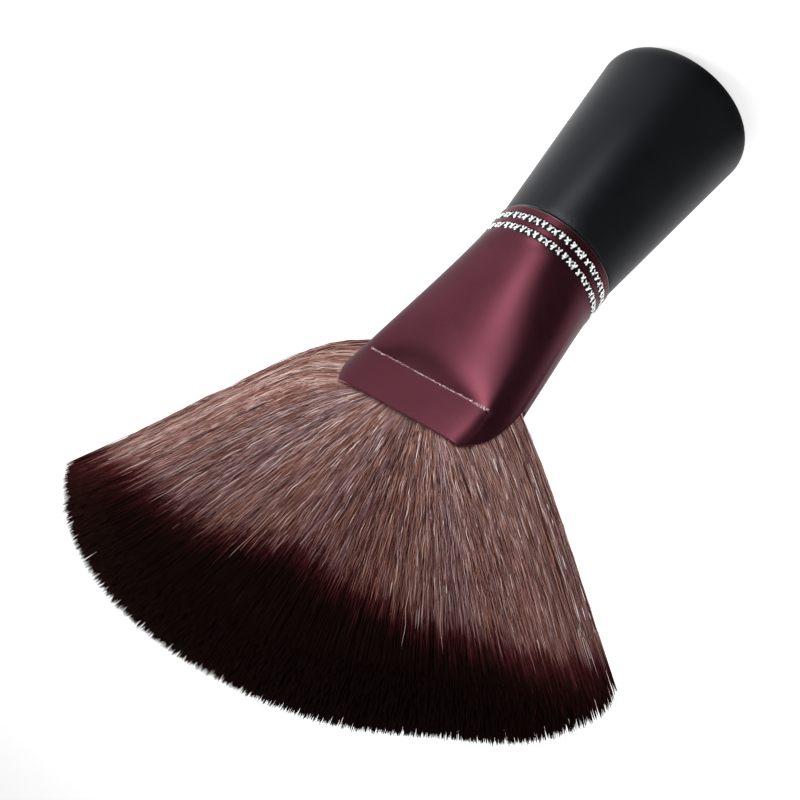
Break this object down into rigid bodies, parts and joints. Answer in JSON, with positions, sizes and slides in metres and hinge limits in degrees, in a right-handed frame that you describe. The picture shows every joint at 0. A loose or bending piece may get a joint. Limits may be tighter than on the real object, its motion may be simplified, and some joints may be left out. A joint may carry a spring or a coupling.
{
  "type": "neck duster brush",
  "caption": "Neck duster with a fan of soft synthetic filaments in a pressed red tube ferrule, standing on a short flared black handle.",
  "frame": {"origin": "centre of the flat base of the handle, which is the face the brush stands on", "axes": "+Z along the brush from the handle to the filament tips, X along the width of the fan, Y through its thickness, front face towards -Y"},
  "size_m": [0.1274, 0.0376, 0.1751],
  "materials": {
    "handle_lacquer": "satin black lacquer",
    "red_anodised": "satin wine-red anodised",
    "cast_resin": "cast, glossy",
    "filament": "fine synthetic filament, brown-mauve with dark dipped tips"
  },
  "bodies": {
    "root": {"handle": "handle_lacquer", "ferrule": "red_anodised", "root_plug": "cast_resin", "bristles": "filament"}
  },
  "joints": []
}
